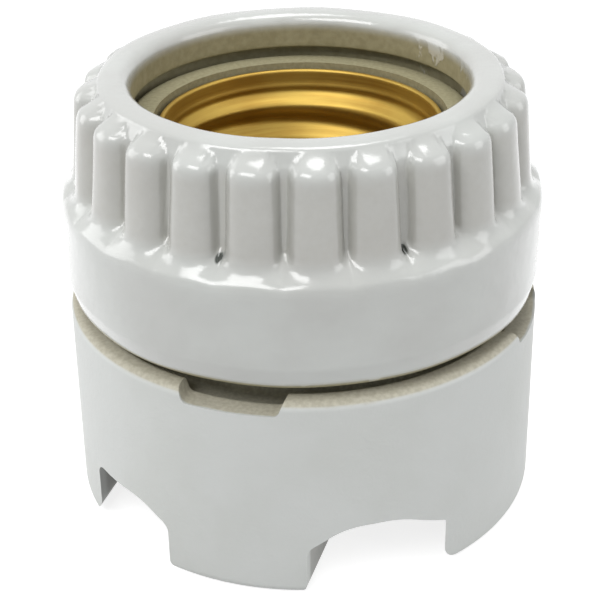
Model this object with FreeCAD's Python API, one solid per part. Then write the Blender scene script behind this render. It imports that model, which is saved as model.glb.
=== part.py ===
"""Two-piece porcelain screw lamp holder with a mogul screw shell, millimetres.

The body stands on its feet at z = 0 with the lamp axis on +Z. Two wire channels run along Y
through its underside. A threaded neck rises from the body, and a ribbed porcelain ring screws
down it to clamp a panel against the body's rim.
"""
import FreeCAD, Part

import math
import os

V = FreeCAD.Vector
UP = V(0, 0, 1)
ORIGIN = V(0, 0, 0)

# body: a round block on feet, with a threaded neck
BODY_RADIUS = 35.4
BODY_DRAFT = 0.3
BODY_HEIGHT = 32.0
BODY_RIM_ROUND = 1.3
BODY_FOOT_ROUND = 1.4
NECK_TOP = 59.4
NECK_ROOT_RADIUS = 25.2
NECK_THREAD_DEPTH = 0.9
NECK_THREAD_BASE = 2.8
NECK_THREAD_CREST = 0.9
NECK_THREAD_PITCH = 5.0
NECK_THREAD_ROOM = 3.0
NECK_TOP_ROUND = 0.7
CAVITY_RADIUS = 21.4
CAVITY_ROUND = 0.5
FLOOR_TOP = 19.0
FLOOR_THICKNESS = 3.0

# rim: an upright wall behind which a groove runs round the neck, notched by four radial slots
RIM_WALL = 3.3
RIM_GROOVE_DEPTH = 3.2
RIM_GROOVE_INNER = 27.4
RIM_GROOVE_ROUND = 1.0
RIM_INNER_ROUND = 0.6
SLOT_COUNT = 4
SLOT_WIDTH = 13.6
SLOT_DEPTH = 2.1
SLOT_SLANT = 0.35
SLOT_CORNER = 1.0

# wire channels: two arched tunnels open below, the right one a little wider
CHANNEL_INNER = 10.5
CHANNEL_SPRING = 7.6
CHANNEL_SPRING_ROUND = 2.0
CHANNEL_CROWN_ROUND = 8.0
NARROW_FOOT_ROUND = 1.8
RIGHT_OUTER = 27.9
RIGHT_OUTER_SPRING = 8.1
RIGHT_CROWN = 11.3
RIGHT_CROWN_START = 15.8
RIGHT_CROWN_END = 22.4
RIGHT_FOOT_ROUND = 3.2
LEFT_OUTER = 24.8
LEFT_CROWN = 10.4
LEFT_CROWN_START = 15.3
LEFT_OUTER_ROUND = 1.6
LEFT_FOOT_ROUND = 4.0

# clamp ring
RING_GAP = 1.8
RING_TOP = 66.3
RING_OVERHANG = 0.0
RING_RADIUS = BODY_RADIUS + RING_OVERHANG
RING_EDGE_INSET = 0.9
RING_EDGE_RISE = 3.4
RING_EDGE_ROUND = 1.1
RING_EDGE_BLEND = 3.0
RING_SHOULDER_START = 48.9
RING_SHOULDER_ROUND = 1.7
RING_SHOULDER_TOP = 51.6
RING_WALL_FOOT_RADIUS = 30.8
RING_WALL_TOP_RADIUS = 29.7
RING_WALL_FOOT_BLEND = 1.0
RING_MOUTH_RADIUS = 24.3
RING_MOUTH_LENGTH = 5.4
RING_MOUTH_ROUND = 1.9
RING_LIP_CROWN_RADIUS = 27.1
RING_LIP_DROP = 2.6
RING_LIP_ROUND = 1.6
RING_BORE_ROUND = 0.5
RING_THREAD_CLEARANCE = 0.35
RING_GROOVE_DEPTH = 0.6
RING_GROOVE_MOUTH = 3.0
RING_GROOVE_ROOT = 1.2
RIB_COUNT = 24
RIB_PHASE_DEG = 5.2
RIB_HALF_WIDTH = 3.35
RIB_FOOT_HALF_WIDTH = 3.65
RIB_FOOT_RISE = 3.0
RIB_TOP_RISE = 2.6
RIB_FOOT_DEPTH = 2.0
RIB_TOP = 65.0
RIB_TOP_ROUND = 2.0
RIB_SEAM_ROUND = 0.4

# rolled Edison screw shell
SHELL_CREST_RADIUS = 18.1
SHELL_THREAD_DEPTH = 1.8
SHELL_PITCH = 6.35
SHELL_GROOVE_MOUTH = 4.4
SHELL_GROOVE_ROOT = 1.8
SHELL_WALL = 0.45
SHELL_TOP = 58.7
SHELL_BAND = 4.0
SHELL_LIP_BAND = 3.4
SHELL_LIP_HEIGHT = 1.0
SHELL_LIP_RADIUS = 20.8
SHELL_FLARE_ROUND = 0.8
SHELL_BULGE_SPREAD = 1.4
SHELL_FLANGE_INNER = 10.8

# centre contact: a sprung plunger in a swaged bush
CONTACT_RADIUS = 5.8
CONTACT_TOP = 24.5
CONTACT_HEAD = 2.2
CONTACT_ROUND = 1.2
CONTACT_DOME = 0.5
STEM_RADIUS = 2.1
STEM_TAIL = 0.8
STEM_CLEARANCE = 0.15
GUIDE_RADIUS = 6.3
GUIDE_BORE = 4.6
GUIDE_FLANGE_RADIUS = 8.2
GUIDE_FLANGE = 0.9
GUIDE_BASE = 0.8
GUIDE_TAIL = 1.4
GUIDE_FIT = 0.1
CLIP_RADIUS = 3.6
CLIP_THICKNESS = 0.8
CLIP_FIT = 0.05
CLIP_MOUTH_DEG = 60.0
SPRING_RADIUS = 3.4
SPRING_WIRE = 0.8
SPRING_TURNS = 5.0

# terminals: flat strips under the floor, each with a binding screw in a wire channel
STRIP_WIDTH = 9.0
STRIP_THICKNESS = 1.2
STRIP_END_ROOM = 1.0
STRIP_CORNER = 1.5
STRIP_PLAY = 0.5
POCKET_FOOT = 6.0
CONTACT_EYE_RADIUS = 8.2
SHELL_STRIP_TAIL = 4.5
BINDING_RADIUS = 2.0
BINDING_HEAD_RADIUS = 4.2
BINDING_HEAD = 2.4
BINDING_LENGTH = 2.2
BINDING_END_ROOM = 0.4
BINDING_HOLE_PLAY = 0.5
TAPPED_PLAY = 0.05

# screws that hold the shell down, with a lock washer and a nut under the floor
SHELL_SCREW_OFFSET = 14.5
SHELL_SCREW_RADIUS = 1.75
SHELL_SCREW_HEAD_RADIUS = 3.2
SHELL_SCREW_HEAD = 1.9
SHELL_SCREW_TAIL = 0.6
SHELL_SCREW_PLAY = 0.3
WASHER_RADIUS = 3.1
WASHER_THICKNESS = 0.8
WASHER_SPLIT = 0.7
NUT_FLATS = 6.0
NUT_THICKNESS = 2.5
NUT_BORE_RADIUS = 4.6
DRIVER_SLOT = 1.0
HEAD_ROUND = 0.6

# places worked out from the sizes above
FLOOR_UNDERSIDE = FLOOR_TOP - FLOOR_THICKNESS
STRIP_UNDERSIDE = FLOOR_UNDERSIDE - STRIP_THICKNESS
RIGHT_MIDDLE = (CHANNEL_INNER + RIGHT_OUTER) / 2
LEFT_MIDDLE = -(CHANNEL_INNER + LEFT_OUTER) / 2
RIGHT_STRIP_END = RIGHT_OUTER - STRIP_END_ROOM
LEFT_STRIP_END = STRIP_END_ROOM - LEFT_OUTER
RING_BOTTOM = BODY_HEIGHT + RING_GAP
RING_BORE_RADIUS = NECK_ROOT_RADIUS + NECK_THREAD_DEPTH + RING_THREAD_CLEARANCE
RING_LEDGE = RING_TOP - RING_MOUTH_LENGTH
CONTACT_UNDERSIDE = CONTACT_TOP - CONTACT_HEAD
GUIDE_BOTTOM = STRIP_UNDERSIDE - GUIDE_TAIL
SHELL_FLANGE_TOP = FLOOR_TOP + SHELL_WALL


def at(radius, z, angle_deg=0.0):
    """Point at a radius, height and angle about the lamp axis."""
    a = math.radians(angle_deg)
    return V(radius * math.cos(a), radius * math.sin(a), z)


def outline(corners):
    """Flat face in the XZ plane from corners (x, z, round), each corner rounded by its radius."""
    count = len(corners)
    edges, joints = [], []
    for i, (x, z, radius) in enumerate(corners):
        here = V(x, 0, z)
        before, after = corners[i - 1], corners[(i + 1) % count]
        back = (V(before[0], 0, before[1]) - here).normalize()
        ahead = (V(after[0], 0, after[1]) - here).normalize()
        if radius == 0:
            joints.append((here, here))
            continue
        half = back.getAngle(ahead) / 2
        inward = (back + ahead).normalize()
        start = here + back * (radius / math.tan(half))
        end = here + ahead * (radius / math.tan(half))
        middle = here + inward * (radius / math.sin(half) - radius)
        edges.append(Part.Arc(start, middle, end).toShape())
        joints.append((start, end))
    for i in range(count):
        start, end = joints[i][1], joints[(i + 1) % count][0]
        if start.distanceToPoint(end) > 1e-6:
            edges.append(Part.LineSegment(start, end).toShape())
    return Part.Face(Part.Wire(Part.__sortEdges__(edges)))


def turned(corners):
    """Solid of revolution about the lamp axis from corners (radius, z, round)."""
    return outline(corners).revolve(ORIGIN, UP, 360)


def rod(radius, bottom, top, x=0.0, y=0.0):
    """Upright cylinder between two heights."""
    return Part.makeCylinder(radius, top - bottom, V(x, y, bottom), UP)


def bar(x0, x1, y0, y1, z0, z1):
    """Box between two corners."""
    return Part.makeBox(x1 - x0, y1 - y0, z1 - z0, V(x0, y0, z0))


def around(shape, count, start_deg=0.0):
    """Copies of a shape spaced evenly about the lamp axis."""
    copies = []
    for i in range(count):
        copy = shape.copy()
        copy.rotate(ORIGIN, UP, start_deg + i * 360.0 / count)
        copies.append(copy)
    return copies


def thread_ridge(root_radius, depth, base_width, crest_width, pitch, bottom, top, sink=0.2):
    """Helical ridge of trapezoid section, standing on a cylinder and sunk into it a little."""
    height = top - bottom
    spread = (base_width - crest_width) / 2 / depth * sink
    half_base, half_crest = base_width / 2 + spread, crest_width / 2
    corners = [(root_radius - sink, -half_base), (root_radius + depth, -half_crest),
               (root_radius + depth, half_crest), (root_radius - sink, half_base)]
    section = Part.makePolygon([V(x, 0, z) for x, z in corners + corners[:1]])
    path = Part.Wire(Part.makeHelix(pitch, height, root_radius))
    ridge = path.makePipeShell([section], True, True)
    ridge.translate(V(0, 0, bottom))
    return ridge


# ---------------------------------------------------------------- porcelain body

def channel_cut(corners):
    """Tool for one wire channel along Y, from the corners (x, z, round) of its section."""
    length = 2 * (BODY_RADIUS + BODY_DRAFT) + 4
    tool = outline(corners).extrude(V(0, length, 0))
    tool.translate(V(0, -length / 2, 0))
    return tool


def right_channel():
    """Arched between the narrow foot and the right wide foot, both rounded at the mouth below."""
    inner, outer, low = CHANNEL_INNER, RIGHT_OUTER, -1.0
    return channel_cut([
        (inner - NARROW_FOOT_ROUND, low, 0), (inner - NARROW_FOOT_ROUND, 0, 0), (inner, 0, NARROW_FOOT_ROUND),
        (inner, CHANNEL_SPRING, CHANNEL_SPRING_ROUND), (RIGHT_CROWN_START, RIGHT_CROWN, CHANNEL_CROWN_ROUND),
        (RIGHT_CROWN_END, RIGHT_CROWN, CHANNEL_CROWN_ROUND), (outer, RIGHT_OUTER_SPRING, 0.5),
        (outer, 0, RIGHT_FOOT_ROUND), (outer + RIGHT_FOOT_ROUND, 0, 0), (outer + RIGHT_FOOT_ROUND, low, 0)])


def left_channel():
    """Lower and flatter than the right one, its outer wall nearer the middle."""
    inner, outer, low = CHANNEL_INNER, LEFT_OUTER, -1.0
    return channel_cut([(-x, z, radius) for x, z, radius in [
        (inner - NARROW_FOOT_ROUND, low, 0), (inner - NARROW_FOOT_ROUND, 0, 0), (inner, 0, NARROW_FOOT_ROUND),
        (inner, CHANNEL_SPRING, CHANNEL_SPRING_ROUND), (LEFT_CROWN_START, LEFT_CROWN, CHANNEL_CROWN_ROUND),
        (outer, LEFT_CROWN, LEFT_OUTER_ROUND), (outer, 0, LEFT_FOOT_ROUND),
        (outer + LEFT_FOOT_ROUND, 0, 0), (outer + LEFT_FOOT_ROUND, low, 0)]])


def rim_slot_cut():
    """Tool for one radial notch in the rim, its sides slanted a little outward."""
    floor, top = BODY_HEIGHT - SLOT_DEPTH, BODY_HEIGHT + 1.0
    half, spread = SLOT_WIDTH / 2, SLOT_SLANT * (SLOT_DEPTH + 1.0)
    profile = outline([(-half, floor, SLOT_CORNER), (half, floor, SLOT_CORNER),
                       (half + spread, top, 0), (-half - spread, top, 0)])
    start = (RIM_GROOVE_INNER + BODY_RADIUS - RIM_WALL) / 2
    tool = profile.extrude(V(0, BODY_RADIUS + 2 - start, 0))
    tool.translate(V(0, start, 0))
    return tool


def strip_cut(x0, x1, y, half):
    """Tool for the recess that a terminal strip lies in, open into the wire channel."""
    return bar(x0, x1, y - half, y + half, POCKET_FOOT, FLOOR_UNDERSIDE)


def porcelain_body():
    groove_outer, groove_floor = BODY_RADIUS - RIM_WALL, BODY_HEIGHT - RIM_GROOVE_DEPTH
    block = turned([
        (0, 0, 0), (BODY_RADIUS + BODY_DRAFT, 0, BODY_FOOT_ROUND), (BODY_RADIUS, BODY_HEIGHT, BODY_RIM_ROUND),
        (groove_outer, BODY_HEIGHT, RIM_INNER_ROUND), (groove_outer, groove_floor, RIM_GROOVE_ROUND),
        (RIM_GROOVE_INNER, groove_floor, RIM_GROOVE_ROUND), (RIM_GROOVE_INNER, BODY_HEIGHT, RIM_INNER_ROUND),
        (0, BODY_HEIGHT, 0)])
    neck = turned([(0, BODY_HEIGHT - 2, 0), (NECK_ROOT_RADIUS, BODY_HEIGHT - 2, 0),
                   (NECK_ROOT_RADIUS, NECK_TOP, NECK_TOP_ROUND), (0, NECK_TOP, 0)])
    ridge = thread_ridge(NECK_ROOT_RADIUS, NECK_THREAD_DEPTH, NECK_THREAD_BASE, NECK_THREAD_CREST,
                         NECK_THREAD_PITCH, BODY_HEIGHT + NECK_THREAD_ROOM, NECK_TOP - NECK_THREAD_ROOM)
    body = block.fuse([neck, ridge])

    cuts = [left_channel(), right_channel()]
    cuts += around(rim_slot_cut(), SLOT_COUNT)
    mouth = NECK_TOP + 1.0
    cuts.append(turned([(0, FLOOR_TOP, 0), (CAVITY_RADIUS, FLOOR_TOP, CAVITY_ROUND), (CAVITY_RADIUS, mouth, 0),
                        (0, mouth, 0)]))
    # centre: hole for the contact bush, and the recess of the contact strip's eye
    eye = CONTACT_EYE_RADIUS + STRIP_PLAY
    half = STRIP_WIDTH / 2 + STRIP_PLAY
    cuts.append(rod(GUIDE_RADIUS + GUIDE_FIT, FLOOR_UNDERSIDE - 1, FLOOR_TOP + 1))
    cuts.append(rod(eye, -1, FLOOR_UNDERSIDE))
    cuts.append(strip_cut(0, RIGHT_STRIP_END + STRIP_PLAY, 0, half))
    cuts.append(strip_cut(LEFT_STRIP_END - STRIP_PLAY, SHELL_STRIP_TAIL + STRIP_PLAY, SHELL_SCREW_OFFSET, half))
    # shell screws: a hole through the floor and a nut recess from below
    for y, ceiling in ((-SHELL_SCREW_OFFSET, STRIP_UNDERSIDE), (SHELL_SCREW_OFFSET, FLOOR_UNDERSIDE)):
        cuts.append(rod(SHELL_SCREW_RADIUS + SHELL_SCREW_PLAY, ceiling - 1, FLOOR_TOP + 1, 0, y))
        cuts.append(rod(NUT_BORE_RADIUS, -1, ceiling, 0, y))
    # blind holes above the two binding screws
    end = STRIP_UNDERSIDE + BINDING_LENGTH + BINDING_END_ROOM
    for x, y in ((RIGHT_MIDDLE, 0), (LEFT_MIDDLE, SHELL_SCREW_OFFSET)):
        cuts.append(rod(BINDING_RADIUS + BINDING_HOLE_PLAY, FLOOR_UNDERSIDE - 1, end, x, y))
    return body.cut(cuts)


# ---------------------------------------------------------------- clamp ring

def ring_core():
    """The turned ring without ribs: skirt, shoulder, sloping wall and rolled lip."""
    edge = RING_RADIUS - RING_EDGE_INSET
    return turned([
        (RING_BORE_RADIUS, RING_BOTTOM, RING_BORE_ROUND),
        (edge, RING_BOTTOM, RING_EDGE_ROUND),
        (RING_RADIUS, RING_BOTTOM + RING_EDGE_RISE, RING_EDGE_BLEND),
        (RING_RADIUS, RING_SHOULDER_START, RING_SHOULDER_ROUND),
        (RING_WALL_FOOT_RADIUS + RING_WALL_FOOT_BLEND, RING_SHOULDER_TOP, RING_WALL_FOOT_BLEND),
        (RING_WALL_FOOT_RADIUS, RING_SHOULDER_TOP + RING_WALL_FOOT_BLEND, RING_WALL_FOOT_BLEND * 0.8),
        (RING_WALL_TOP_RADIUS, RING_TOP - RING_LIP_DROP, RING_LIP_ROUND),
        (RING_LIP_CROWN_RADIUS + 1.0, RING_TOP, RING_LIP_ROUND),
        (RING_MOUTH_RADIUS, RING_TOP, RING_MOUTH_ROUND),
        (RING_MOUTH_RADIUS, RING_LEDGE, RING_BORE_ROUND),
        (RING_BORE_RADIUS, RING_LEDGE, RING_BORE_ROUND),
    ])


def rib():
    """One upright half-round rib, leaning in with the wall and rounded over at its top."""
    foot_axis = RING_WALL_FOOT_RADIUS + RIB_FOOT_RISE - RIB_FOOT_HALF_WIDTH
    top_axis = RING_WALL_TOP_RADIUS + RIB_TOP_RISE - RIB_HALF_WIDTH
    foot = V(foot_axis, 0, RING_SHOULDER_START - RIB_FOOT_DEPTH)
    lean = V(top_axis, 0, RIB_TOP) - foot
    trunk = Part.makeCone(RIB_FOOT_HALF_WIDTH, RIB_HALF_WIDTH, lean.Length, foot, lean)
    rim = [e for e in trunk.Edges if e.BoundBox.ZMin > RIB_TOP - 1 and e.Length > RIB_HALF_WIDTH * 6]
    return trunk.makeFillet(RIB_TOP_ROUND, rim)


def clamp_ring():
    """Turned ring with the ribs grown out of its wall, each seam softened as in a pressed glaze."""
    inside = RING_BORE_RADIUS + 1.0
    low, high = RING_BOTTOM + RING_EDGE_RISE, RING_TOP + 1
    keep = turned([(inside, low, 0), (RING_RADIUS + 2, low, 0), (RING_RADIUS + 2, high, 0), (inside, high, 0)])
    ribs = around(rib().common(keep), RIB_COUNT, RIB_PHASE_DEG - 90.0)
    ring = ring_core().fuse(ribs)
    middle = (RING_SHOULDER_TOP + RIB_TOP) / 2
    seam_reach = RING_WALL_FOOT_RADIUS + RIB_SEAM_ROUND
    seams = [e for e in ring.Edges if e.BoundBox.ZMin < middle - 2 and e.BoundBox.ZMax > middle + 2
             and inside < math.hypot(e.CenterOfMass.x, e.CenterOfMass.y) < seam_reach]
    ring = ring.makeFillet(RIB_SEAM_ROUND, seams)
    groove = thread_ridge(RING_BORE_RADIUS, RING_GROOVE_DEPTH, RING_GROOVE_MOUTH, RING_GROOVE_ROOT,
                          NECK_THREAD_PITCH, RING_BOTTOM + NECK_THREAD_ROOM, RING_LEDGE - NECK_THREAD_ROOM)
    return ring.cut(groove)


# ---------------------------------------------------------------- screw shell

def screw_shell():
    """Brass shell of one wall: bottom flange, rolled thread, flared mouth and a lip turned out."""
    inner, wall = SHELL_CREST_RADIUS, SHELL_WALL
    mouth = inner + SHELL_THREAD_DEPTH
    flare = SHELL_TOP - SHELL_LIP_BAND
    lip = SHELL_TOP - SHELL_LIP_HEIGHT
    sheet = turned([
        (SHELL_FLANGE_INNER, FLOOR_TOP, 0), (inner + wall, FLOOR_TOP, wall),
        (inner + wall, flare - SHELL_THREAD_DEPTH, SHELL_FLARE_ROUND), (mouth + wall, flare, SHELL_FLARE_ROUND),
        (mouth + wall, lip, 0.1), (SHELL_LIP_RADIUS, lip, 0.2), (SHELL_LIP_RADIUS, SHELL_TOP, 0.3),
        (mouth, SHELL_TOP, 0.4), (mouth, flare, SHELL_FLARE_ROUND),
        (inner, flare - SHELL_THREAD_DEPTH, SHELL_FLARE_ROUND),
        (inner, SHELL_FLANGE_TOP, 0), (SHELL_FLANGE_INNER, SHELL_FLANGE_TOP, 0)])
    low, high = FLOOR_TOP + SHELL_BAND, flare
    spread = SHELL_BULGE_SPREAD * wall
    groove = thread_ridge(inner, SHELL_THREAD_DEPTH, SHELL_GROOVE_MOUTH, SHELL_GROOVE_ROOT,
                          SHELL_PITCH, low, high)
    bulge = thread_ridge(inner + wall, SHELL_THREAD_DEPTH, SHELL_GROOVE_MOUTH + spread,
                         SHELL_GROOVE_ROOT + spread, SHELL_PITCH, low - wall, high)
    shell = sheet.fuse(bulge).cut(groove)
    cuts = []
    for y in (-SHELL_SCREW_OFFSET, SHELL_SCREW_OFFSET):
        cuts.append(rod(SHELL_SCREW_RADIUS + SHELL_SCREW_PLAY / 2, FLOOR_TOP - 1, SHELL_FLANGE_TOP + 1, 0, y))
    return shell.cut(cuts)


# ---------------------------------------------------------------- centre contact

def contact_guide():
    """Bush through the floor, with a flange above and a base that holds the spring."""
    stem_hole = STEM_RADIUS + STEM_CLEARANCE
    return turned([
        (stem_hole, GUIDE_BOTTOM, 0), (GUIDE_RADIUS, GUIDE_BOTTOM, 0.4), (GUIDE_RADIUS, FLOOR_TOP, 0),
        (GUIDE_FLANGE_RADIUS, FLOOR_TOP, 0), (GUIDE_FLANGE_RADIUS, FLOOR_TOP + GUIDE_FLANGE, 0.3),
        (GUIDE_BORE, FLOOR_TOP + GUIDE_FLANGE, 0.3), (GUIDE_BORE, GUIDE_BOTTOM + GUIDE_BASE, 0),
        (stem_hole, GUIDE_BOTTOM + GUIDE_BASE, 0)])


def contact_button():
    """Domed contact head on a stem that runs down through the bush."""
    tail = GUIDE_BOTTOM - CLIP_THICKNESS - STEM_TAIL
    return turned([
        (0, tail, 0), (STEM_RADIUS, tail, 0.3), (STEM_RADIUS, CONTACT_UNDERSIDE, 0),
        (CONTACT_RADIUS, CONTACT_UNDERSIDE, 0.3), (CONTACT_RADIUS, CONTACT_TOP - CONTACT_DOME, CONTACT_ROUND),
        (CONTACT_RADIUS * 0.45, CONTACT_TOP, 2.0), (0, CONTACT_TOP, 0)])


def contact_clip():
    """Open retaining clip round the stem, below the bush."""
    low = GUIDE_BOTTOM - CLIP_THICKNESS
    clip = rod(CLIP_RADIUS, low, GUIDE_BOTTOM).cut(rod(STEM_RADIUS + CLIP_FIT, low - 1, GUIDE_BOTTOM + 1))
    reach = CLIP_RADIUS * 2
    half = math.radians(CLIP_MOUTH_DEG / 2)
    corners = [V(0, 0, low - 1), V(reach * math.cos(half), reach * math.sin(half), low - 1),
               V(reach * math.cos(half), -reach * math.sin(half), low - 1), V(0, 0, low - 1)]
    mouth = Part.Face(Part.makePolygon(corners)).extrude(V(0, 0, CLIP_THICKNESS + 2))
    return clip.cut(mouth)


def contact_spring():
    """Compression coil between the bush's base and the contact head."""
    half = SPRING_WIRE / 2
    low = GUIDE_BOTTOM + GUIDE_BASE + half
    height = CONTACT_UNDERSIDE - half - low
    helix = Part.makeHelix(height / SPRING_TURNS, height, SPRING_RADIUS)
    section = Part.makePolygon([V(SPRING_RADIUS + a, 0, b) for a, b in
                                ((-half, -half), (half, -half), (half, half), (-half, half), (-half, -half))])
    coil = Part.Wire(helix).makePipeShell([section], True, True)
    coil.translate(V(0, 0, low))
    return coil


# ---------------------------------------------------------------- terminals

def strip(x0, x1, y):
    """Flat terminal strip with rounded corners, lying against the floor's underside."""
    half = STRIP_WIDTH / 2
    blank = bar(x0, x1, y - half, y + half, STRIP_UNDERSIDE, FLOOR_UNDERSIDE)
    upright = [e for e in blank.Edges if e.BoundBox.ZLength > STRIP_THICKNESS / 2]
    return blank.makeFillet(STRIP_CORNER, upright)


def tapped_hole(x, y):
    return rod(BINDING_RADIUS + TAPPED_PLAY, STRIP_UNDERSIDE - 1, FLOOR_UNDERSIDE + 1, x, y)


def contact_terminal():
    """Strip whose eye is swaged on the contact bush."""
    low, high = STRIP_UNDERSIDE, FLOOR_UNDERSIDE
    eye = rod(CONTACT_EYE_RADIUS, low, high)
    blank = eye.fuse(strip(0, RIGHT_STRIP_END, 0)).removeSplitter()
    return blank.cut([rod(GUIDE_RADIUS, low - 1, high + 1), tapped_hole(RIGHT_MIDDLE, 0)])


def shell_terminal():
    """Strip held under the rear shell screw."""
    y = SHELL_SCREW_OFFSET
    hole = rod(SHELL_SCREW_RADIUS + SHELL_SCREW_PLAY / 2, STRIP_UNDERSIDE - 1, FLOOR_UNDERSIDE + 1, 0, y)
    return strip(LEFT_STRIP_END, SHELL_STRIP_TAIL, y).cut([hole, tapped_hole(LEFT_MIDDLE, y)])


def slotted_head(radius, height, corner_round):
    """Screw head standing on z = 0, rounded above and cut with a driver slot."""
    head = turned([(0, 0, 0), (radius, 0, 0), (radius, height, corner_round), (0, height, 0)])
    half, deep = DRIVER_SLOT / 2, height / 2
    return head.cut(bar(-radius - 1, radius + 1, -half, half, height - deep, height + 1))


def binding_screw(x, y, slot_deg):
    """Terminal screw, its head down in the wire channel."""
    head = slotted_head(BINDING_HEAD_RADIUS, BINDING_HEAD, HEAD_ROUND)
    head.rotate(ORIGIN, UP, slot_deg)
    head.rotate(ORIGIN, V(1, 0, 0), 180)
    screw = head.fuse(rod(BINDING_RADIUS, 0, BINDING_LENGTH))
    screw.translate(V(x, y, STRIP_UNDERSIDE))
    return screw


def shell_screw(y, slot_deg):
    """Pan-head screw through the shell's flange and the floor."""
    tail = STRIP_UNDERSIDE - WASHER_THICKNESS - NUT_THICKNESS - SHELL_SCREW_TAIL
    head = slotted_head(SHELL_SCREW_HEAD_RADIUS, SHELL_SCREW_HEAD, HEAD_ROUND)
    head.rotate(ORIGIN, UP, slot_deg)
    screw = head.fuse(rod(SHELL_SCREW_RADIUS, tail - SHELL_FLANGE_TOP, 0))
    screw.translate(V(0, y, SHELL_FLANGE_TOP))
    return screw


def lock_washer(y):
    """Split spring washer under the floor."""
    low, high = STRIP_UNDERSIDE - WASHER_THICKNESS, STRIP_UNDERSIDE
    bore = rod(SHELL_SCREW_RADIUS + SHELL_SCREW_PLAY / 2, low - 1, high + 1)
    split = bar(0, WASHER_RADIUS + 1, -WASHER_SPLIT / 2, WASHER_SPLIT / 2, low - 1, high + 1)
    washer = rod(WASHER_RADIUS, low, high).cut([bore, split])
    washer.translate(V(0, y, 0))
    return washer


def hex_nut(y):
    """Hexagon nut on the shell screw's end."""
    high = STRIP_UNDERSIDE - WASHER_THICKNESS
    low = high - NUT_THICKNESS
    corner = NUT_FLATS / math.sqrt(3)
    ring = [at(corner, low, 60 * i + 30) for i in range(7)]
    nut = Part.Face(Part.makePolygon(ring)).extrude(V(0, 0, NUT_THICKNESS))
    nut = nut.cut(rod(SHELL_SCREW_RADIUS + TAPPED_PLAY, low - 1, high + 1))
    nut.translate(V(0, y, 0))
    return nut


def build():
    front, rear = -SHELL_SCREW_OFFSET, SHELL_SCREW_OFFSET
    return {
        "porcelain_body": porcelain_body(),
        "clamp_ring": clamp_ring(),
        "screw_shell": screw_shell(),
        "contact_guide": contact_guide(),
        "contact_button": contact_button(),
        "contact_clip": contact_clip(),
        "contact_spring": contact_spring(),
        "contact_terminal": contact_terminal(),
        "shell_terminal": shell_terminal(),
        "contact_binding_screw": binding_screw(RIGHT_MIDDLE, 0, 25),
        "shell_binding_screw": binding_screw(LEFT_MIDDLE, rear, 70),
        "front_shell_screw": shell_screw(front, 35),
        "rear_shell_screw": shell_screw(rear, -20),
        "front_lock_washer": lock_washer(front),
        "rear_lock_washer": lock_washer(rear),
        "front_nut": hex_nut(front),
        "rear_nut": hex_nut(rear),
    }


os.makedirs("parts", exist_ok=True)
for name, shape in build().items():
    shape.exportStep(os.path.join("parts", name + ".step"))
    print(f"{name}: {len(shape.Solids)} solid, valid {shape.isValid()}, {shape.Volume:.1f} mm3")
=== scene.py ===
"""Looks of a porcelain screw lamp holder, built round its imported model.

The turned and rolled pieces that show are remade as fine surfaces: the ribbed clamp ring and the
brass screw shell. Every other piece keeps its own mesh and gets its finish here.

Shapes are in millimetres until they become meshes; the floor and the lights are in metres.
"""

import math

import bpy
import numpy as np
from mathutils import Matrix, Vector


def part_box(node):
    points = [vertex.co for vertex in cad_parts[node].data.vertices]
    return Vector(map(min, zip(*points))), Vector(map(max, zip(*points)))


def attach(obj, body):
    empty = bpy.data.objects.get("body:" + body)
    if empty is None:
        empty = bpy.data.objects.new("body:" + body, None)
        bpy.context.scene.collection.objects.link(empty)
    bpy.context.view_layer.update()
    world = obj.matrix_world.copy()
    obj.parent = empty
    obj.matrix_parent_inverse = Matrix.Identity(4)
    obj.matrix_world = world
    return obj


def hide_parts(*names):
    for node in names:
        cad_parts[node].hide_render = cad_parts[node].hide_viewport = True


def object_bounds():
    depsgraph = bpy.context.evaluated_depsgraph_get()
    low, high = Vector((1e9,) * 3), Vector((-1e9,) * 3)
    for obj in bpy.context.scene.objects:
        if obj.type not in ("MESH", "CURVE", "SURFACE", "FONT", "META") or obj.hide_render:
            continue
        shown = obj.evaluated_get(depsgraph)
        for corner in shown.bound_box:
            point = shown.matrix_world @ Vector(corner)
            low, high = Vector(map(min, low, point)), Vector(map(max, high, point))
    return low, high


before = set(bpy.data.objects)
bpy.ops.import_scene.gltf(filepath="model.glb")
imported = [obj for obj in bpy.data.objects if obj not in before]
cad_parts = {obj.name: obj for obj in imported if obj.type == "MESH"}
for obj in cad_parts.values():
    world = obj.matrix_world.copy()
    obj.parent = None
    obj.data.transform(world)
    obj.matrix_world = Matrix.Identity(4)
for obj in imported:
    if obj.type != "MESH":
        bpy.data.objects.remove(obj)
cad_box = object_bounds()

MM = 0.001
TURN = 2 * math.pi

ring_low, ring_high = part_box("clamp_ring")
shell_low, shell_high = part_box("screw_shell")

# ---------------------------------------------------------------- surfaces


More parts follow.
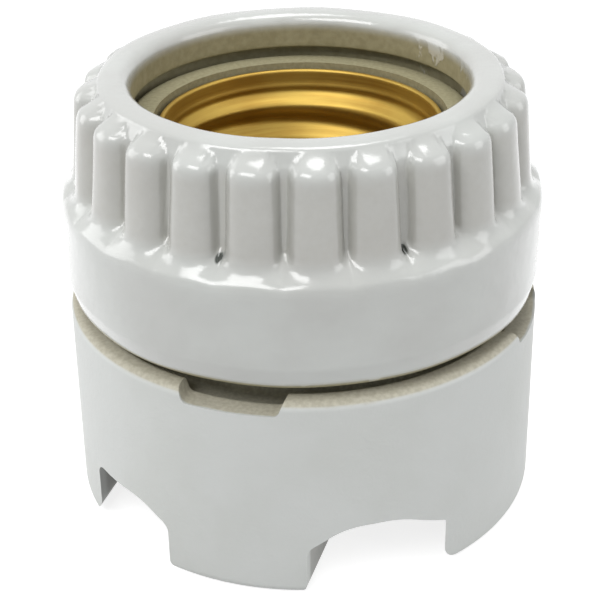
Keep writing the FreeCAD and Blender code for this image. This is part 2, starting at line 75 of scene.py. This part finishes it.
def rounded_profile(corners, spacing):
    """Closed loop of (radius, height) points through corners (r, z, round, spacing factor).

    Each corner is replaced by the arc of its radius tangent to both sides, and straight runs and
    arcs are sampled at about the spacing times the corner's factor.
    """
    count = len(corners)
    arcs = []
    for i, (r, z, radius, factor) in enumerate(corners):
        here = np.array((r, z))
        back = np.array(corners[i - 1][:2]) - here
        ahead = np.array(corners[(i + 1) % count][:2]) - here
        back, ahead = back / np.linalg.norm(back), ahead / np.linalg.norm(ahead)
        half = math.acos(float(np.clip(back @ ahead, -1, 1))) / 2
        inward = (back + ahead) / np.linalg.norm(back + ahead)
        centre = here + inward * radius / math.sin(half)
        start = here + back * radius / math.tan(half) - centre
        end = here + ahead * radius / math.tan(half) - centre
        sweep = math.atan2(start[0] * end[1] - start[1] * end[0], start @ end)
        steps = max(3, int(math.ceil(abs(sweep) * radius / (spacing * factor))))
        turn = np.linspace(0, sweep, steps + 1)[:, None]
        side = np.array((-start[1], start[0]))
        arcs.append(centre + start * np.cos(turn) + side * np.sin(turn))
    loop = []
    for i, arc in enumerate(arcs):
        loop.append(arc)
        start, end = arc[-1], arcs[(i + 1) % count][0]
        steps = int(np.linalg.norm(end - start) // (spacing * corners[i][3]))
        if steps > 1:
            t = np.linspace(0, 1, steps + 1)[1:-1, None]
            loop.append(start + (end - start) * t)
    return np.vstack(loop)


def smooth_max(a, b, soft):
    """Larger of a and b, rounded where they meet: half of a + b + root((a - b)^2 + soft^2)."""
    return (a + b + np.sqrt((a - b) ** 2 + soft ** 2)) / 2


def smooth_step(t):
    """Rises from 0 to 1 as t goes from 0 to 1, flat at both ends: 3 t^2 - 2 t^3."""
    t = np.clip(t, 0, 1)
    return t * t * (3 - 2 * t)


def turned_grid(profile, angles):
    """Radius, height and angle of every point of a profile turned to these angles."""
    angle, radius = np.meshgrid(angles, profile[:, 0])
    height = np.repeat(profile[:, 1:], len(angles), axis=1)
    return radius, height, angle


def torus_mesh(name, radius, height, angle):
    """Mesh of a surface closed both ways: x = r cos a, y = r sin a, z = h, on a grid of r, h, a."""
    x, y = radius * np.cos(angle), radius * np.sin(angle)
    points = np.stack([x, y, height], axis=-1) * MM
    rows, columns = radius.shape
    i, j = np.meshgrid(np.arange(rows), np.arange(columns), indexing="ij")
    below, beside = (i + 1) % rows, (j + 1) % columns
    quads = np.stack([i * columns + j, i * columns + beside,
                      below * columns + beside, below * columns + j], axis=-1)
    mesh = bpy.data.meshes.new(name)
    mesh.vertices.add(rows * columns)
    mesh.vertices.foreach_set("co", points.reshape(-1))
    faces = quads.reshape(-1, 4)
    mesh.loops.add(faces.size)
    mesh.loops.foreach_set("vertex_index", faces.reshape(-1).astype(np.int32))
    mesh.polygons.add(len(faces))
    mesh.polygons.foreach_set("loop_start", np.arange(0, faces.size, 4, dtype=np.int32))
    mesh.polygons.foreach_set("use_smooth", np.ones(len(faces), bool))
    mesh.update(calc_edges=True)
    mesh.validate()
    return mesh


def place(name, mesh, body, node, material):
    """Adds the mesh as a piece that rides on a body and stands for a node."""
    piece = bpy.data.objects.new(name, mesh)
    bpy.context.scene.collection.objects.link(piece)
    mesh.materials.append(material)
    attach(piece, body)
    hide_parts(node)


# ---------------------------------------------------------------- clamp ring

RING_FOOT = ring_low[2] / MM
RING_CROWN = ring_high[2] / MM
RING_REACH = ring_high[0] / MM
RING_BORE = 26.45                  # radius inside the skirt and the wall
RING_MOUTH = 24.3                  # radius of the opening in the lip
RING_LIP_DEPTH = 5.4
RING_SPACING = 0.6
RIB_COUNT = 24
RIB_PITCH = TURN / RIB_COUNT
RIB_PHASE = math.radians(5.2 - 90)
RIB_ARC_RADIUS = 31.0              # where distances round the ribs are measured
RIB_FOOT_TIP = RING_REACH - 1.65
RIB_TOP_TIP = RING_REACH - 3.15
RIB_FOOT = RING_CROWN - 16.3
RIB_TOP = RING_CROWN - 1.15
RIB_DOME = 2.7
RIB_DEPTH = 3.4
RIB_HALF_WIDTH = 3.74
RIB_NARROWING = 0.30               # taken off the half width by the top
RIB_LEAN = 0.12                    # most that a rib stands off its even place
RIB_WIDTH_SPREAD = 0.02            # as a share of the width
RIB_TOP_SPREAD = 0.12
RIB_COLUMNS = 28
RIB_CROWDING = 0.42
RIB_WALL_START = 27.0              # the ribs grow only outside this radius
WALL_BLEND = 0.65                  # softness of the seam along the wall
FOOT_BLEND = 0.75                  # more of it at the foot
PIN_HOLES = (-2.8, 42.2)           # degrees round from the front
PIN_HOLE_HEIGHT = RING_CROWN - 14.8
PIN_HOLE_DEPTH = 1.1
PIN_HOLE_WIDTH = 0.42
PIN_HOLE_LENGTH = 0.75


def ring_profile():
    """Section of the ring without ribs, from the bore's foot round the skirt, wall and lip."""
    low, high, reach = RING_FOOT, RING_CROWN, RING_REACH
    skirt = [(RING_BORE, low, 0.5, 2.4), (reach - 0.9, low, 1.1, 1.0), (reach, low + 3.4, 3.0, 1.3)]
    shoulder = [(reach, high - 17.4, 1.7, 0.9), (reach - 3.6, high - 14.7, 0.9, 0.7)]
    wall = [(reach - 4.6, high - 13.7, 0.8, 0.6), (reach - 5.7, high - 2.6, 1.6, 1.0)]
    crown = [(reach - 7.3, high, 1.6, 0.8), (RING_MOUTH, high, 1.9, 0.8)]
    ledge = high - RING_LIP_DEPTH
    lip = [(RING_MOUTH, ledge, 0.4, 1.2), (RING_BORE, ledge, 0.4, 2.4)]
    return rounded_profile(skirt + shoulder + wall + crown + lip, RING_SPACING)


def rib_radius(angle, height):
    """Outer radius of the ribs: a flat-fronted half superellipse in plan, domed over at the top.

    r = root + depth * (1 - |s / half width|^2.5 - dome^2.3)^(1 / 2.2), where s is the distance
    round from the rib's middle and dome is how far the height is up the rounded top.
    """
    climb = (height - RIB_FOOT) / (RIB_TOP - RIB_FOOT)
    tip = RIB_FOOT_TIP + (RIB_TOP_TIP - RIB_FOOT_TIP) * climb
    number = np.floor((angle - RIB_PHASE) / RIB_PITCH + 0.5)
    lean = RIB_LEAN * np.sin(number * 2.4)
    s = (angle - RIB_PHASE - number * RIB_PITCH) * RIB_ARC_RADIUS - lean
    half = RIB_HALF_WIDTH - RIB_NARROWING * climb
    half = half * (1 + RIB_WIDTH_SPREAD * np.sin(number * 5.1 + 1))
    top = RIB_TOP + RIB_TOP_SPREAD * np.sin(number * 3.7)
    dome = np.clip((height - (top - RIB_DOME)) / RIB_DOME, 0, 1)
    inside = 1 - np.abs(s / half) ** 2.5 - dome ** 2.3
    return tip - RIB_DEPTH + RIB_DEPTH * np.clip(inside, 0, 1) ** (1 / 2.2)


def pin_hole_depth(angle, height):
    """Two pits left in the glaze at the foot of a hollow: depth * exp(-(distance / radius)^2)."""
    depth = 0
    up = (height - PIN_HOLE_HEIGHT) / PIN_HOLE_LENGTH
    for degrees in PIN_HOLES:
        across = (angle - math.radians(degrees - 90)) * RIB_ARC_RADIUS / PIN_HOLE_WIDTH
        depth = depth + PIN_HOLE_DEPTH * np.exp(-across ** 2 - up ** 2)
    return depth


def ring_mesh():
    """Ring as a closed surface: the turned section, with the ribs grown out of its wall.

    Columns crowd together in the hollows: angle = pitch * (u - crowding * sin(turn * u) / turn).
    Slow waves, each under a tenth of a millimetre high, leave the glaze a little uneven.
    """
    u = np.arange(RIB_COUNT * RIB_COLUMNS) / RIB_COLUMNS
    turned = RIB_PHASE + RIB_PITCH * (u - 0.5 - RIB_CROWDING * np.sin(TURN * u) / TURN)
    radius, height, angle = turned_grid(ring_profile(), turned)
    soft = WALL_BLEND + FOOT_BLEND * smooth_step((RIB_FOOT + 2.6 - height) / 3.0)
    ribbed = smooth_max(radius, rib_radius(angle, height), soft)
    on_wall = smooth_step((radius - RIB_WALL_START) / 1.6)
    above_foot = smooth_step((height - RIB_FOOT + 1.6) / 1.2)
    radius = radius + (ribbed - radius) * (on_wall * above_foot)
    wave = 0.07 * np.sin(3 * angle + 1) + 0.05 * np.sin(11 * angle + height * 0.3)
    outside = smooth_step((radius - RIB_WALL_START - 0.2) / 1.0)
    radius = radius + (wave - pin_hole_depth(angle, height)) * outside
    sag = 0.07 * np.sin(5 * angle + 0.7) * smooth_step((height - RING_CROWN + 3) / 3.0)
    return torus_mesh("clamp_ring_glazed", radius, height - np.abs(sag), angle)


# ---------------------------------------------------------------- screw shell

SHELL_FOOT = shell_low[2] / MM
SHELL_LIP = shell_high[2] / MM
SHELL_REACH = shell_high[0] / MM
SHELL_WALL = 0.45
SHELL_INNER = 19.0                 # inner radius midway between crest and root
SHELL_FLOOR_HOLE = 10.8
SHELL_FLARE = 0.9                  # how far the band under the lip stands out
SHELL_BAND = 3.4                   # foot of that band, below the lip
SHELL_FLARE_FOOT = 5.0             # foot of the flare, below the lip
SHELL_SPACING = 0.5
SHELL_COLUMNS = 288
SHELL_BEAD = 0.16
SHELL_BEAD_DROP = 2.6
SHELL_BEAD_SPREAD = 0.4
THREAD_DEPTH = 0.9
THREAD_PITCH = 6.35
THREAD_START = SHELL_FOOT + 4.0
THREAD_END = SHELL_LIP - SHELL_BAND


def shell_wave(height, angle):
    """Rolled thread, a right-hand helix of rounded waves that fade out at both ends.

    w = cos(turn * (z - start) / pitch - angle), and the swell is depth * (w + 0.16 w^2 - 0.08).
    """
    fade_in = smooth_step((height - THREAD_START) / 3.0)
    fade_out = smooth_step((THREAD_END - height) / 2.4)
    wave = np.cos(TURN * (height - THREAD_START) / THREAD_PITCH - angle)
    return THREAD_DEPTH * (fade_in * fade_out) * (wave + 0.16 * wave ** 2 - 0.08)


def shell_mesh():
    """Shell as a closed surface: up the inside, over the lip, down the outside and under.

    A shallow bead runs round the band under the lip: depth * exp(-((z - place) / spread)^2).
    """
    foot, floor, lip, under = SHELL_FOOT, SHELL_FOOT + SHELL_WALL, SHELL_LIP, SHELL_LIP - 1.0
    inner, outer = SHELL_INNER, SHELL_INNER + SHELL_WALL
    band_inner, band_outer = inner + SHELL_FLARE, outer + SHELL_FLARE
    band, flare = lip - SHELL_BAND, lip - SHELL_FLARE_FOOT
    bottom = [(SHELL_FLOOR_HOLE, foot, 0.1, 3.0), (SHELL_FLOOR_HOLE, floor, 0.1, 3.0)]
    inside = [(inner, floor, 1.2, 1.0), (inner, flare, 1.4, 0.5), (band_inner, band, 1.2, 0.5)]
    rim = [(band_inner, lip, 0.35, 0.3),
           (SHELL_REACH, lip, 0.4, 0.3), (SHELL_REACH, under, 0.4, 0.3)]
    outside = [(band_outer, under, 0.1, 0.6), (band_outer, band, 1.2, 0.6),
               (outer, flare, 1.4, 0.8), (outer, foot, 1.2, 1.2)]
    profile = rounded_profile(bottom + inside + rim + outside, SHELL_SPACING)
    turned = np.linspace(0, TURN, SHELL_COLUMNS, endpoint=False)
    radius, height, angle = turned_grid(profile, turned)
    bead = SHELL_BEAD * np.exp(-((height - lip + SHELL_BEAD_DROP) / SHELL_BEAD_SPREAD) ** 2)
    on_wall = smooth_step((radius - 17.5) / 1.0)
    radius = radius + (shell_wave(height, angle) - bead) * on_wall
    return torus_mesh("screw_shell_rolled", radius, height, angle)


# ---------------------------------------------------------------- shader maths

class Value:
    """One output socket that takes part in plain arithmetic; numbers stay numbers."""

    def __init__(self, build, socket):
        self.build, self.socket = build, socket

    def _math(self, operation, *values):
        return self.build.node("ShaderNodeMath", {"operation": operation}, dict(enumerate(values)))

    def __add__(self, other):
        return self._math("ADD", self, other)

    __radd__ = __add__

    def __mul__(self, other):
        return self._math("MULTIPLY", self, other)

    def __sub__(self, other):
        return self._math("SUBTRACT", self, other)

    def __rsub__(self, other):
        return self._math("SUBTRACT", other, self)

    def __pow__(self, other):
        return self._math("POWER", self, other)

    def clamp(self):
        """The same value, kept between 0 and 1."""
        return self.build.node("ShaderNodeClamp", {}, {"Value": self})

    def step(self, low, high):
        """Smooth rise from 0 at low to 1 at high."""
        return self.build.node("ShaderNodeMapRange", {"interpolation_type": "SMOOTHSTEP"},
                               {"Value": self, "From Min": low, "From Max": high})

    def fall(self, low, high):
        """Smooth fall from 1 at low to 0 at high."""
        return 1 - self.step(low, high)


class Finish:
    """Builds the shader nodes of one material, or of the world."""

    def __init__(self, name, owner=None):
        self.material = owner or bpy.data.materials.new(name)
        self.material.use_nodes = True
        self.tree = self.material.node_tree
        self.tree.nodes.clear()

    def node(self, kind, settings=None, values=None, output=0):
        """Adds a node: its settings first, then the values or links of its sockets."""
        made = self.tree.nodes.new(kind)
        for key, value in (settings or {}).items():
            setattr(made, key, value)
        for key, value in (values or {}).items():
            socket = made.inputs[key]
            if isinstance(value, Value):
                self.tree.links.new(value.socket, socket)
            else:
                socket.default_value = value
        return Value(self, made.outputs[output])

    def where(self):
        """Object coordinates in millimetres."""
        metres = self.node("ShaderNodeTexCoord", output="Object")
        settings = {"operation": "SCALE"}
        return self.node("ShaderNodeVectorMath", settings, {0: metres, "Scale": 1 / MM})

    def axes(self, where):
        """The x, y and z of a place, and its distance r from the lamp axis."""
        x, y, z = [self.node("ShaderNodeSeparateXYZ", {}, {0: where}, output=i) for i in range(3)]
        return x, y, z, (x * x + y * y) ** 0.5

    def noise(self, where, scale, detail=3.0, rough=0.5, stretch=(1, 1, 1)):
        """Noise about 0.5 over a place in millimetres; scale is in cycles for each millimetre."""
        spread = self.node("ShaderNodeMapping", {}, {"Vector": where, "Scale": stretch})
        return self.node("ShaderNodeTexNoise", {"noise_dimensions": "3D"},
                         {"Vector": spread, "Scale": scale, "Detail": detail, "Roughness": rough})

    def mix(self, factor, a, b):
        """Colour a where the factor is 0 and b where it is 1."""
        return self.node("ShaderNodeMix", {"data_type": "RGBA"}, {0: factor, 6: a, 7: b}, output=2)

    def bump(self, height, strength, distance):
        """Normal tilted by a height; the distance is in metres."""
        values = {"Height": height, "Strength": strength, "Distance": distance}
        return self.node("ShaderNodeBump", {}, values)

    def surface(self, **values):
        """Principled surface with these sockets, joined to the output."""
        names = {key.replace("_", " "): value for key, value in values.items()}
        shader = self.node("ShaderNodeBsdfPrincipled", {}, names)
        self.finish_with(shader, "ShaderNodeOutputMaterial")
        return self.material

    def finish_with(self, shader, kind):
        """Joins the shader to an output of this kind."""
        self.tree.links.new(shader.socket, self.tree.nodes.new(kind).inputs["Surface"])


def colour(red, green, blue):
    """Linear colour with alpha from display values 0 to 255."""
    def linear(c):
        c = c / 255
        return c / 12.92 if c <= 0.04045 else ((c + 0.055) / 1.055) ** 2.4
    return (linear(red), linear(green), linear(blue), 1.0)


# ---------------------------------------------------------------- finishes

# Pairs are the two ends of a mottled tone.
GLAZE_WHITE = colour(189, 190, 186), colour(195, 197, 193)
GLAZE_WARM = colour(172, 168, 160)
# Greenish grey a little darker than the glaze, mixed into the hollows between the ribs: painted
# shade.
HOLLOW_SHADE_GREEN = colour(182, 185, 176)
GLAZE_RUN = colour(192, 190, 176)
# Near black in the two pits on the ring: painted shade.
PIT_SHADE = colour(52, 58, 50)
# Dark olive of the bare mouth, bore and skirt edge: painted shade, and in the bore a painted
# reflection of the brass.
BORE_OLIVE_SHADE = colour(144, 137, 106), colour(157, 150, 119)
SATIN_WHITE = colour(206, 208, 204), colour(211, 213, 210)
RIM_CREAM = colour(184, 179, 161), colour(200, 196, 179)
# Dark greyish cream in the groove behind the rim: painted shade.
GROOVE_SHADE = colour(150, 146, 128), colour(168, 164, 146)
# Olive on the neck's top inside the ring: painted shade and painted reflection of the brass.
NECK_OLIVE_SHADE = colour(140, 134, 104), colour(154, 148, 118)
# Grey on the inner walls of the channels under the body: painted shade.
UNDER_SHADE_GREY = colour(158, 158, 153), colour(168, 168, 163)

# Soft edges of the zones, (from, to) in millimetres: heights Z above the feet and radii R.
WALL_FOOT_Z, WALL_TOP_Z = (50.5, 53.0), (61.5, 64.0)
WALL_INNER_R, HOLLOW_OUTER_R = (28.6, 29.2), (30.6, 32.6)
MOUTH_R, MOUTH_Z = (24.6, 25.4), (63.4, 65.2)
BORE_R, BORE_Z = (26.6, 27.6), (60.5, 61.2)
SKIRT_EDGE_R, SKIRT_EDGE_Z = (34.6, 35.0), (34.2, 35.2)
RUN_SIDE_X = 6, 16
RIM_Z = 31.6, 32.4
SLOT_R, SLOT_Z = (35.2, 35.55), (28.4, 28.9)
GROOVE_R, GROOVE_Z = (31.6, 32.6), (27.0, 28.0)
NECK_R, NECK_Z = (27.0, 27.6), (34.0, 40.0)
UNDER_R, UNDER_Z = (33.5, 34.8), (25.5, 27.5)


def pin_hole_shade(x, y, z):
    """1 in the two pits on the ring's outside and 0 elsewhere: where near-black shade is painted
    into the pits.
    """
    pit_shade = 0
    up = z - PIN_HOLE_HEIGHT
    for degrees in PIN_HOLES:
        turn = math.radians(degrees - 90)
        across = x * -math.sin(turn) + y * math.cos(turn)
        outward = x * math.cos(turn) + y * math.sin(turn)
        distance = (across * across * 3.2 + up * up * 2.2) ** 0.5
        pit_shade = pit_shade + distance.fall(0.55, 0.95) * outward.step(20, 25)
    return pit_shade.clamp()


def glazed_porcelain():
    """Thick glaze: faintly warm on the ribs, greenish with painted shade in the hollows, bare in
    the bore with a dark olive of painted shade and painted reflection of the brass.

    A few runs of glaze cross the bore on one side, and the skirt's inner edge is bare too, with the
    same dark olive there as painted shade.
    """
    f = Finish("glazed_porcelain")
    where = f.where()
    x, y, z, r = f.axes(where)
    cloud = f.noise(where, 0.07, 3)
    fine = f.noise(where, 0.9, 4)
    pool = f.noise(where, 0.22, 2)
    run = f.noise(where, 0.34, 3, 0.6, (1.0, 1.0, 0.6)).step(0.56, 0.62) * x.step(*RUN_SIDE_X)

    wall = z.step(*WALL_FOOT_Z) * z.fall(*WALL_TOP_Z) * r.step(*WALL_INNER_R)
    hollow = r.fall(*HOLLOW_OUTER_R) * wall
    mouth = r.fall(*MOUTH_R) * z.fall(*MOUTH_Z)
    bore = r.fall(*BORE_R) * z.fall(*BORE_Z)
    skirt_edge = z.fall(*SKIRT_EDGE_Z) * r.fall(*SKIRT_EDGE_R)
    bare_and_shaded = (mouth + bore + skirt_edge).clamp()
    dry = bare_and_shaded * (1 - run)

    white = f.mix(cloud.step(0.35, 0.65), *GLAZE_WHITE)
    warm = f.mix(wall * (fine * 0.3 + 0.35), white, GLAZE_WARM)
    # A tenth of the way to a darker greenish grey in the hollows: painted shade.
    glazed = f.mix(hollow * 0.1, warm, HOLLOW_SHADE_GREEN)
    # The two pits are painted near black: painted shade in the recesses.
    glazed = f.mix(pin_hole_shade(x, y, z), glazed, PIT_SHADE)
    # Bare zones take a dark olive: painted shade, and in the bore a painted reflection of the
    # brass.
    olive_shade = f.mix(fine.step(0.3, 0.7), *BORE_OLIVE_SHADE)
    base = f.mix(bare_and_shaded, glazed, f.mix(run, olive_shade, GLAZE_RUN))
    ripple = pool * 1.4 + fine * 0.1 + run * mouth * 0.8
    return f.surface(Base_Color=base, Roughness=fine * 0.08 + 0.16 + dry * 0.4, IOR=1.5,
                     Normal=f.bump(ripple, 0.35, 0.0005),
                     Coat_Weight=0.6 - dry * 0.6, Coat_Roughness=0.12)


def satin_porcelain():
    """Thin satin glaze on the body; cream and bare on the rim; bare and darker from painted shade
    in its groove and on the neck, where it is olive with a painted reflection of the brass; painted
    shade in the channels underneath.
    """
    f = Finish("satin_porcelain")
    where = f.where()
    x, y, z, r = f.axes(where)
    cloud = f.noise(where, 0.06, 3)
    fine = f.noise(where, 1.6, 4)
    edge = f.noise(where, 0.35, 3)

    rim = (z + edge * 0.9).step(*RIM_Z)
    slot = (r + edge * 0.5).fall(*SLOT_R) * z.step(*SLOT_Z)
    groove = r.fall(*GROOVE_R) * z.step(*GROOVE_Z)
    neck = r.fall(*NECK_R) * z.step(*NECK_Z)
    under = r.fall(*UNDER_R) * z.fall(*UNDER_Z)
    bare = (rim + slot).clamp()

    white = f.mix(cloud.step(0.35, 0.65), *SATIN_WHITE)
    cream = f.mix(fine.step(0.3, 0.7), *RIM_CREAM)
    groove_shade = f.mix(fine.step(0.35, 0.7), *GROOVE_SHADE)
    olive_shade = f.mix(fine.step(0.3, 0.7), *NECK_OLIVE_SHADE)
    # The channels under the body take a darker grey: painted shade.
    under_shade = f.mix(cloud.step(0.4, 0.6), *UNDER_SHADE_GREY)
    # Bare parts: cream on the rim, darker in the groove and olive on the neck, the last two painted
    # shade.
    dry = f.mix(neck, f.mix(groove, cream, groove_shade), olive_shade)
    base = f.mix(under, f.mix(bare, white, dry), under_shade)
    grain = fine * 0.5 + f.noise(where, 0.3, 2)
    return f.surface(Base_Color=base, Roughness=cloud * 0.12 + 0.4 + bare * 0.25, IOR=1.5,
                     Normal=f.bump(grain, 0.3, 0.0003))


def drawn_brass(name, light, dark, roughness):
    """Brass drawn round the lamp axis: faint level streaks, and broad clouds of a darker tone."""
    f = Finish(name)
    where = f.where()
    streak = f.noise(where, 0.5, 4, 0.6, (0.12, 0.12, 5.0))
    cloud = f.noise(where, 0.12, 3)
    base = f.mix((streak * 0.5 + cloud * 0.5).step(0.35, 0.65), dark, light)
    rough = cloud * 0.1 + roughness + streak * 0.05
    return f.surface(Base_Color=base, Metallic=1.0, Roughness=rough)


def plated_steel(name, tone, roughness):
    """Bright plated steel with faint mottling."""
    f = Finish(name)
    cloud = f.noise(f.where(), 1.2, 4)
    darker = tuple(0.85 * c for c in tone[:3]) + (1.0,)
    base = f.mix(cloud.step(0.3, 0.7), tone, darker)
    return f.surface(Base_Color=base, Metallic=1.0, Roughness=cloud * 0.1 + roughness,
                     Normal=f.bump(cloud, 0.1, 0.0001))


GLAZE = glazed_porcelain()
SATIN = satin_porcelain()
BRASS = drawn_brass("rolled_brass", colour(184, 156, 80), colour(168, 136, 66), 0.42)
TURNED = drawn_brass("turned_brass", colour(220, 180, 104), colour(198, 154, 80), 0.3)
STAMPED = drawn_brass("stamped_brass", colour(206, 164, 88), colour(180, 138, 68), 0.36)
ZINC = plated_steel("zinc_plated_steel", colour(176, 178, 180), 0.34)
WIRE = plated_steel("spring_wire", colour(160, 161, 164), 0.3)

FINISHES = {
    "porcelain_body": SATIN,
    "contact_guide": TURNED, "contact_button": TURNED,
    "contact_clip": ZINC, "contact_spring": WIRE,
    "contact_terminal": STAMPED, "shell_terminal": STAMPED,
    "contact_binding_screw": TURNED, "shell_binding_screw": TURNED,
    "front_shell_screw": TURNED, "rear_shell_screw": TURNED,
    "front_lock_washer": ZINC, "rear_lock_washer": ZINC,
    "front_nut": ZINC, "rear_nut": ZINC,
}


def dress_nodes():
    """Gives every carried-over node its finish."""
    for name, material in FINISHES.items():
        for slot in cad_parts[name].material_slots:
            slot.material = material


# ---------------------------------------------------------------- camera, floor and light

CAMERA_PLACE = Vector((60.2, -194.47, 140.68)) * MM
CAMERA_AIM = Vector((-0.55, -0.04, 28.39)) * MM
CAMERA_ROLL = math.radians(-0.93)
CAMERA_LENS = 90.0                 # millimetres, as the sensor's width is
CAMERA_SENSOR = 36.0

WORLD_FILL = 0.37
WORLD_TINT = (0.95, 0.97, 1.0, 1)
WHITE = (1, 1, 1, 1)
BLACK = (0, 0, 0, 1)
FLOOR_REACH = 3.0
FLOOR_DROP = 0.0002
FLOOR_GREY = (0.5, 0.5, 0.5, 1)
FLOOR_GLOW = (0.8, 0.8, 0.8, 1)

LIGHT_AIM = (0, 0, 0.035)
LIGHTS = {                         # place, width, height and power
    "key": ((-0.16, -0.50, 0.62), 0.55, 0.30, 3.1),
    "left": ((-0.70, -0.05, 0.25), 0.45, 0.45, 1.4),
    "top": ((0.05, 0.10, 0.85), 0.40, 0.40, 2.8),
    "right": ((0.65, 0.00, 0.25), 0.45, 0.45, 1.2),
}


def set_camera():
    """Long lens, from above at the front right, turned slightly on its axis."""
    data = bpy.data.cameras.new("camera")
    data.sensor_width = CAMERA_SENSOR
    data.lens = CAMERA_LENS
    data.clip_start = 0.01
    camera = bpy.data.objects.new("camera", data)
    bpy.context.scene.collection.objects.link(camera)
    look = (CAMERA_AIM - CAMERA_PLACE).to_track_quat("-Z", "Y").to_matrix().to_4x4()
    roll = Matrix.Rotation(CAMERA_ROLL, 4, "Z")
    camera.matrix_world = Matrix.Translation(CAMERA_PLACE) @ look @ roll
    bpy.context.scene.camera = camera


def seen_directly(finish):
    """1 for camera, glossy and transmission rays and 0 for the rest."""
    names = ("Is Camera Ray", "Is Glossy Ray", "Is Transmission Ray")
    rays = [finish.node("ShaderNodeLightPath", output=name) for name in names]
    return (rays[0] + rays[1] + rays[2]).clamp()


def set_world():
    """Even pale surroundings that look white where they are seen."""
    world = bpy.data.worlds.new("studio")
    f = Finish("studio", world)
    soft = f.node("ShaderNodeBackground", {}, {"Color": WORLD_TINT, "Strength": WORLD_FILL})
    white = f.node("ShaderNodeBackground", {}, {"Color": WHITE, "Strength": 1.0})
    both = f.node("ShaderNodeMixShader", {}, {0: seen_directly(f), 1: soft, 2: white})
    f.finish_with(both, "ShaderNodeOutputWorld")
    bpy.context.scene.world = world


def set_floor():
    """Wide pale floor just under the feet: white where it is seen lit, and it keeps the shadow."""
    mesh = bpy.data.meshes.new("floor")
    level = cad_box[0][2] - FLOOR_DROP
    signs = [(-1, -1), (1, -1), (1, 1), (-1, 1)]
    corners = [(FLOOR_REACH * across, FLOOR_REACH * along, level) for across, along in signs]
    mesh.from_pydata(corners, [], [(0, 1, 2, 3)])
    floor = bpy.data.objects.new("floor", mesh)
    bpy.context.scene.collection.objects.link(floor)
    f = Finish("floor_white")
    glow = f.mix(seen_directly(f), BLACK, FLOOR_GLOW)
    mesh.materials.append(f.surface(Base_Color=FLOOR_GREY, Roughness=0.9, Specular_IOR_Level=0.0,
                                    Emission_Color=glow, Emission_Strength=1.0))


def soft_box(name, spot, width, height, power):
    """Area light, width and height in metres, turned to the aim with its width level."""
    data = bpy.data.lights.new(name, "AREA")
    data.shape = "RECTANGLE"
    data.size, data.size_y, data.energy = width, height, power
    lamp = bpy.data.objects.new(name, data)
    lamp.location = spot
    lamp.rotation_euler = (Vector(LIGHT_AIM) - Vector(spot)).to_track_quat("-Z", "Y").to_euler()
    bpy.context.scene.collection.objects.link(lamp)


def set_lights():
    """Key high in front on the left, a top light for the crowns, and weak lights at the sides."""
    for name, settings in LIGHTS.items():
        soft_box(name, *settings)


place("clamp_ring_glazed", ring_mesh(), "ring", "clamp_ring", GLAZE)
place("screw_shell_rolled", shell_mesh(), "holder", "screw_shell", BRASS)
dress_nodes()
set_camera()
set_world()
set_floor()
set_lights()
bpy.context.scene.view_settings.view_transform = "Standard"
